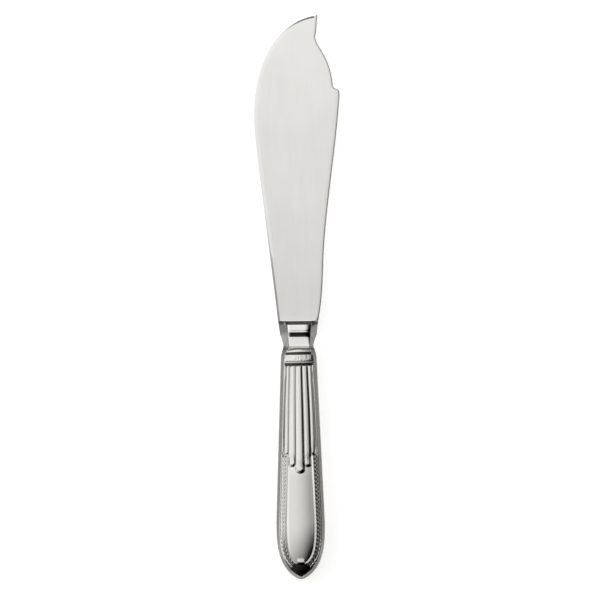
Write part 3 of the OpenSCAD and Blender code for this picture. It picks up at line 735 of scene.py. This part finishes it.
def zipper(a, pa, b, pb):
    """Triangles between two rows of any length, stepped by the place of each point."""
    faces, i, j = [], 0, 0
    while i < len(a) - 1 or j < len(b) - 1:
        if j == len(b) - 1 or (i < len(a) - 1 and pa[i] + pa[i + 1] <= pb[j] + pb[j + 1]):
            faces.append((b[j], a[i + 1], a[i]))
            i += 1
        else:
            faces.append((b[j], b[j + 1], a[i]))
            j += 1
    return faces


def half_mesh():
    """A closed half: points, faces and painted shade of each point."""
    n_side, rings, border_dark = half_surface()
    rows = field_rows(rings, n_side)
    arches = lining_arches()
    ring_n, n = rings.shape[:2]
    full, cols = 2 * n - 1, len(rows[0]) - 1
    mirror = np.concatenate([np.arange(n), np.arange(n - 2, -1, -1)])
    outer = rings[:, mirror]
    outer[:, :n - 1, 0] *= -1
    points = np.vstack([outer.reshape(-1, 3)] + [row[1:-1] for row in rows] + arches)
    last_ring, field_from = full * (ring_n - 1), full * ring_n
    arch_from = field_from + n_side * (cols - 1)

    def ring(k):
        return full * k + np.arange(full)

    def line(j):
        if j == n_side:
            return last_ring + n_side + np.arange(cols + 1)
        inside = field_from + (cols - 1) * j + np.arange(cols - 1)
        return np.concatenate([[last_ring + j], inside, [last_ring + full - 1 - j]])

    def arch(j):
        return arch_from + (ARCH_N + 1) * j + np.arange(ARCH_N + 1)

    strips = [strip(ring(k + 1), ring(k)) for k in range(ring_n - 1)]
    strips += [strip(line(j), line(j + 1)) for j in range(n_side)]
    strips += [strip(arch(j + 1), arch(j)) for j in range(len(arches) - 1)]
    faces = np.vstack(strips).tolist()
    end = arch(len(arches) - 1).tolist()
    faces += [(end[-1], end[i + 1], end[i]) for i in range(ARCH_N - 1)]

    def turn_of(row):
        return [1 - math.atan2(abs(points[i][2]), points[i][0]) / math.pi for i in row]

    def run_of(row, down_n):
        down = points[row, 1] / HANDLE_L / 2
        return np.where(np.arange(len(row)) < down_n, down, 1 - down)

    # the mouth's end face, then the seam face that lies on the other half
    down = [full * k for k in range(ring_n)]
    mouth = down + line(0)[1:-1].tolist() + [first + full - 1 for first in down[::-1]]
    first_arch = arch(0).tolist()
    faces += zipper(mouth, turn_of(mouth), first_arch, turn_of(first_arch))
    left = [int(arch(j)[0]) for j in range(len(arches))]
    hem = left + [i + ARCH_N for i in left[::-1]]
    outline = ring(0).tolist()
    faces += zipper(hem, run_of(hem, len(arches)), outline, run_of(outline, n))

    # painted shade of each point: none on the lining, and the border's own on the rings
    dark = painted_shade(points[:, 0], points[:, 1])
    dark[arch_from:] = 0
    dark[:field_from] = np.maximum(dark[:field_from], border_dark[:, mirror].reshape(-1))
    points[:, 1] = np.minimum(points[:, 1], HANDLE_L - END_TRIM)
    return points * [1, -1, 1], faces, dark


# Materials

def fresh(name):
    mat = bpy.data.materials.new(name)
    mat.use_nodes = True
    nt = mat.node_tree
    return mat, nt, nt.nodes["Principled BSDF"]


def noise(nt, scale, stretch, detail=4.0, rough=0.55):
    coord = nt.nodes.new("ShaderNodeTexCoord")
    mapping = nt.nodes.new("ShaderNodeMapping")
    mapping.inputs["Scale"].default_value = stretch
    tex = nt.nodes.new("ShaderNodeTexNoise")
    tex.inputs["Scale"].default_value = scale
    tex.inputs["Detail"].default_value = detail
    tex.inputs["Roughness"].default_value = rough
    nt.links.new(coord.outputs["Object"], mapping.inputs["Vector"])
    nt.links.new(mapping.outputs["Vector"], tex.inputs["Vector"])
    return tex.outputs["Fac"]


def ramp(nt, source, stops):
    node = nt.nodes.new("ShaderNodeValToRGB")
    for element, (place, colour) in zip(node.color_ramp.elements, stops):
        element.position = place
        element.color = (*colour, 1)
    nt.links.new(source, node.inputs["Fac"])
    return node.outputs["Color"]


def bump(nt, bsdf, source, strength, distance):
    node = nt.nodes.new("ShaderNodeBump")
    node.inputs["Strength"].default_value = strength
    node.inputs["Distance"].default_value = distance
    nt.links.new(source, node.inputs["Height"])
    nt.links.new(node.outputs["Normal"], bsdf.inputs["Normal"])


def fade(nt, source, low, high, v0, v1, kind="LINEAR"):
    """v0 where the source is at low, v1 at high, and held there beyond."""
    node = nt.nodes.new("ShaderNodeMapRange")
    node.interpolation_type = kind
    for name, v in (("From Min", low), ("From Max", high), ("To Min", v0), ("To Max", v1)):
        node.inputs[name].default_value = v
    nt.links.new(source, node.inputs["Value"])
    return node.outputs["Result"]


def calc(nt, kind, a, b):
    node = nt.nodes.new("ShaderNodeMath")
    node.operation = kind
    for socket, v in zip(node.inputs, (a, b)):
        if isinstance(v, (int, float)):
            socket.default_value = v
        else:
            nt.links.new(v, socket)
    return node.outputs[0]


def axes(nt, source):
    coord = nt.nodes.new("ShaderNodeTexCoord")
    parts = nt.nodes.new("ShaderNodeSeparateXYZ")
    nt.links.new(coord.outputs[source], parts.inputs["Vector"])
    return parts.outputs["X"], parts.outputs["Y"], parts.outputs["Z"]


def graded(nt, shade, heel):
    """Steel with painted shade: darker by the heel, as if less light fell there, and at its full colour
    toward the tip.
    """
    along = fade(nt, axes(nt, "Object")[1], -0.01, 0.13, heel, 1.0)
    node = nt.nodes.new("ShaderNodeVectorMath")
    node.operation = "SCALE"
    nt.links.new(shade, node.inputs[0])
    nt.links.new(along, node.inputs["Scale"])
    return node.outputs["Vector"]


def darkened(nt, shade):
    """The metal's colour darkened by the painted shade that its points carry."""
    depth = nt.nodes.new("ShaderNodeAttribute")
    depth.attribute_name = "painted_shade"
    node = nt.nodes.new("ShaderNodeMix")
    node.data_type = "RGBA"
    node.inputs["B"].default_value = PAINTED_SHADE_COLOUR
    nt.links.new(depth.outputs["Fac"], node.inputs["Factor"])
    nt.links.new(shade, node.inputs["A"])
    return node.outputs["Result"]


def metal(name, colour, rough, spread, grain_scale, stretch, grain, heel=None, shade_painted=True):
    """Bare metal: a colour with a little drift, and roughness that varies with a fine grain. heel
    paints shade that grows toward the heel, and the points' painted shade darkens the colour unless it
    is turned off.
    """
    mat, nt, bsdf = fresh(name)
    bsdf.inputs["Metallic"].default_value = 1.0
    darker = tuple(c * 0.93 for c in colour)
    shade = ramp(nt, noise(nt, 28.0, (1, 1, 1)), [(0.3, darker), (0.7, colour)])
    if heel:
        shade = graded(nt, shade, heel)
    if shade_painted:
        shade = darkened(nt, shade)
    nt.links.new(shade, bsdf.inputs["Base Color"])
    fine = noise(nt, grain_scale, stretch, rough=0.6)
    rough_range = ramp(nt, fine, [(0.25, (rough - spread,) * 3), (0.75, (rough + spread,) * 3)])
    nt.links.new(rough_range, bsdf.inputs["Roughness"])
    bump(nt, bsdf, fine, grain, 0.00004)
    return mat


def make_object(name, verts, faces, sharp, dark, mats):
    me = bpy.data.meshes.new(name)
    me.from_pydata(verts.tolist(), [], faces)
    me.polygons.foreach_set("use_smooth", [True] * len(me.polygons))
    me.update()
    me.set_sharp_from_angle(angle=math.radians(sharp))
    # each point carries its painted shade, 0 to 1
    me.attributes.new("painted_shade", "FLOAT", "POINT").data.foreach_set("value", dark)
    for mat in mats:
        me.materials.append(mat)
    obj = bpy.data.objects.new(name, me)
    bpy.context.scene.collection.objects.link(obj)
    return obj


# Camera, table and light

def aim_camera(scene):
    """A camera squared to the knife's own face, which leans a little on the table."""
    cam = bpy.data.cameras.new("camera_above")
    cam.sensor_width = FILM_W
    cam.lens = FILM_W * CAMERA_UP / props().picture_width
    cam.clip_end = 10.0
    obj = bpy.data.objects.new("camera_above", cam)
    scene.collection.objects.link(obj)
    lean = Matrix.Rotation(-ROLL, 4, "Y") @ Matrix.Rotation(-PITCH, 4, "X")
    turn = Matrix.Rotation(math.radians(CAMERA_TURN), 4, "Z")
    obj.matrix_world = Matrix.Translation(CAMERA_AT) @ lean @ turn @ \
        Matrix.Translation((0, 0, CAMERA_UP))
    scene.camera = obj


def straight_rays(nt):
    """1 for rays from the camera, from a mirror or through glass."""
    path = nt.nodes.new("ShaderNodeLightPath").outputs
    seen = calc(nt, "MAXIMUM", path["Is Camera Ray"], path["Is Glossy Ray"])
    return calc(nt, "MAXIMUM", seen, path["Is Transmission Ray"])


def white_table():
    mat, nt, bsdf = fresh("white_table")
    bsdf.inputs["Base Color"].default_value = (0.8, 0.8, 0.79, 1)
    bsdf.inputs["Roughness"].default_value = 0.8
    glow = nt.nodes.new("ShaderNodeEmission")
    glow.inputs["Color"].default_value = (1, 1, 1, 1)
    nt.links.new(calc(nt, "MULTIPLY", straight_rays(nt), TABLE_GLOW), glow.inputs["Strength"])
    both = nt.nodes.new("ShaderNodeAddShader")
    nt.links.new(bsdf.outputs["BSDF"], both.inputs[0])
    nt.links.new(glow.outputs["Emission"], both.inputs[1])
    nt.links.new(both.outputs["Shader"], nt.nodes["Material Output"].inputs["Surface"])
    return mat


def lay_table(scene):
    r = TABLE_REACH
    me = bpy.data.meshes.new("table")
    me.from_pydata([(-r, -r, 0), (r, -r, 0), (r, r, 0), (-r, r, 0)], [], [(0, 1, 2, 3)])
    me.materials.append(white_table())
    table = bpy.data.objects.new("table", me)
    scene.collection.objects.link(table)
    table.location.z = -TABLE_SINK


def light_room(scene):
    """A soft room: bright above and to the left, dark to the right and before the knife, and a
    grey ring low down."""
    world = bpy.data.worlds.new("soft_room")
    scene.world = world
    world.use_nodes = True
    nt = world.node_tree
    x, y, z = axes(nt, "Generated")

    def ease(source, low, high, v0, v1):
        return fade(nt, source, low, high, v0, v1, "SMOOTHSTEP")

    def times(a, b):
        return calc(nt, "MULTIPLY", a, b)

    def plus(a, b):
        return calc(nt, "ADD", a, b)

    top = times(ease(x, -0.35, 0.85, 1.0, 0.3), ease(x, 0.54, 0.68, 1.0, 0.02))
    right = calc(nt, "MAXIMUM", x, 0.0)
    slant = plus(plus(x, 1.0), times(times(right, right), 7.0))
    before = fade(nt, times(y, slant), -0.75, -0.03, 0.0, 1.0)
    top = times(top, calc(nt, "POWER", before, 1.9))
    ring = times(ease(y, 0.1, 0.8, 1.0, 0.45), ease(y, -0.4, 0.0, 0.42, 0.3))
    ring = times(ring, ease(x, 0.4, 0.9, 1.0, 0.86))
    high = ease(plus(z, times(y, -0.34)), 0.46, 0.6, 0.0, 1.0)
    light = plus(times(top, high), times(ring, calc(nt, "SUBTRACT", 1.0, high)))
    bg = nt.nodes["Background"]
    bg.inputs["Color"].default_value = (1, 1, 1, 1)
    nt.links.new(light, bg.inputs["Strength"])


def hang_lamp(scene):
    """A soft box up to the left that gives the knife its faint shadow."""
    lamp = bpy.data.lights.new("soft_box", "AREA")
    lamp.shape = "RECTANGLE"
    lamp.size, lamp.size_y = LAMP_SIZE, LAMP_SIZE
    lamp.energy = LAMP_POWER
    obj = bpy.data.objects.new("soft_box", lamp)
    scene.collection.objects.link(obj)
    obj.visible_glossy = False
    obj.location = LAMP_AT
    obj.rotation_euler = (-Vector(obj.location)).to_track_quat("-Z", "Y").to_euler()


def props():
    return bpy.context.scene.cake_knife


class CakeKnifeLooks(bpy.types.PropertyGroup):
    leaf_length: FloatProperty(
        name="Leaf length", description="Length of one pair of leaves, in millimetres",
        default=2.0, min=1.2, max=4.0)
    leaf_height: FloatProperty(
        name="Leaf height", description="Height of the leaf band over its channel",
        default=0.00016, min=0.0, max=0.0008, unit="LENGTH", precision=5)
    blade_colour: FloatVectorProperty(
        name="Blade steel", description="Colour of the satin blade",
        default=(0.97, 0.96, 0.935), size=3, subtype="COLOR", min=0, max=1)
    silver_colour: FloatVectorProperty(
        name="Silver", description="Colour of the handle's silver",
        default=(0.85, 0.832, 0.79), size=3, subtype="COLOR", min=0, max=1)
    cement_colour: FloatVectorProperty(
        name="Cement", description="Colour of the cement in the handle",
        default=(0.55, 0.5, 0.43), size=3, subtype="COLOR", min=0, max=1)
    picture_width: FloatProperty(
        name="Picture width", description="Width that the camera takes in at the knife",
        default=0.2927, min=0.1, max=1.0, unit="LENGTH")


class KNIFE_OT_blade(bpy.types.Operator):
    """Builds the satin blade with its eased back, fine edge and polished bolster."""
    bl_idname = "cake_knife.blade"
    bl_label = "Blade and bolster"

    def execute(self, context):
        steel = tuple(props().blade_colour)
        # the satin blade gets painted shade by the heel, and the polished bolster carries the painted
        # shade of its points
        satin = metal("satin_blade_steel", steel, 0.25, 0.025, 900.0, (1, 0.05, 1), 0.1,
                      heel=0.84, shade_painted=False)
        polished = metal("polished_bolster_steel", steel, 0.13, 0.03, 400.0, (1, 1, 1), 0.05)
        points, faces, metals, dark = blade_mesh()
        low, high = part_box("blade")
        verts = np.clip(lay_down(points), np.array(low), np.array(high))
        obj = make_object("blade_dressed", verts, faces, 28, dark, [satin, polished])
        obj.data.polygons.foreach_set("material_index", metals)
        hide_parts("blade")
        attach(obj, "root")
        return {"FINISHED"}


class KNIFE_OT_handle(bpy.types.Operator):
    """Builds the two stamped halves of the handle, with reeds, collar and leaf border."""
    bl_idname = "cake_knife.handle"
    bl_label = "Handle halves"

    def execute(self, context):
        silver = metal("polished_silver", tuple(props().silver_colour), 0.14, 0.04, 350.0,
                       (1, 1, 1), 0.08)
        points, faces, dark = half_mesh()
        for name, node, side in (("handle_front_dressed", "handle_front_shell", 1),
                                 ("handle_back_dressed", "handle_back_shell", -1)):
            verts = lay_down(points * [side, 1, side])
            obj = make_object(name, verts, faces, 50, dark, [silver])
            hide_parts(node)
            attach(obj, "root")
        return {"FINISHED"}


class KNIFE_OT_cement(bpy.types.Operator):
    """Gives the cement round the tang its dull, grainy look."""
    bl_idname = "cake_knife.cement"
    bl_label = "Cement round the tang"

    def execute(self, context):
        mat, nt, bsdf = fresh("handle_cement")
        bsdf.inputs["Roughness"].default_value = 0.9
        grit = noise(nt, 300.0, (1, 1, 1), 5.0)
        base = tuple(props().cement_colour)
        tint = ramp(nt, grit, [(0.3, tuple(c * 0.7 for c in base)), (0.7, base)])
        nt.links.new(tint, bsdf.inputs["Base Color"])
        bump(nt, bsdf, grit, 0.5, 0.0002)
        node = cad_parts["tang_cement"]
        if not node.material_slots:
            node.data.materials.append(mat)
        for slot in node.material_slots:
            slot.material = mat
        return {"FINISHED"}


class KNIFE_OT_stage(bpy.types.Operator):
    """Sets the camera over the knife, the white table under it and soft studio light."""
    bl_idname = "cake_knife.stage"
    bl_label = "Camera, table and light"

    def execute(self, context):
        scene = context.scene
        scene.view_settings.view_transform = "Standard"
        aim_camera(scene)
        lay_table(scene)
        light_room(scene)
        hang_lamp(scene)
        return {"FINISHED"}


class KNIFE_PT_panel(bpy.types.Panel):
    """Lists the pieces of the knife in the sidebar."""
    bl_idname = "KNIFE_PT_panel"
    bl_label = "Cake knife"
    bl_space_type = "VIEW_3D"
    bl_region_type = "UI"
    bl_category = "Cake knife"

    def draw(self, context):
        for name in CakeKnifeLooks.__annotations__:
            self.layout.prop(context.scene.cake_knife, name)
        for op in OPERATORS:
            self.layout.operator(op.bl_idname)


OPERATORS = (KNIFE_OT_stage, KNIFE_OT_blade, KNIFE_OT_handle, KNIFE_OT_cement)
CLASSES = (CakeKnifeLooks,) + OPERATORS + (KNIFE_PT_panel,)


def register():
    for c in CLASSES:
        bpy.utils.register_class(c)
    bpy.types.Scene.cake_knife = PointerProperty(type=CakeKnifeLooks)


def unregister():
    del bpy.types.Scene.cake_knife
    for c in reversed(CLASSES):
        bpy.utils.unregister_class(c)


def main():
    register()
    bpy.ops.cake_knife.stage()
    bpy.ops.cake_knife.blade()
    bpy.ops.cake_knife.handle()
    bpy.ops.cake_knife.cement()


if __name__ == "__main__":
    main()
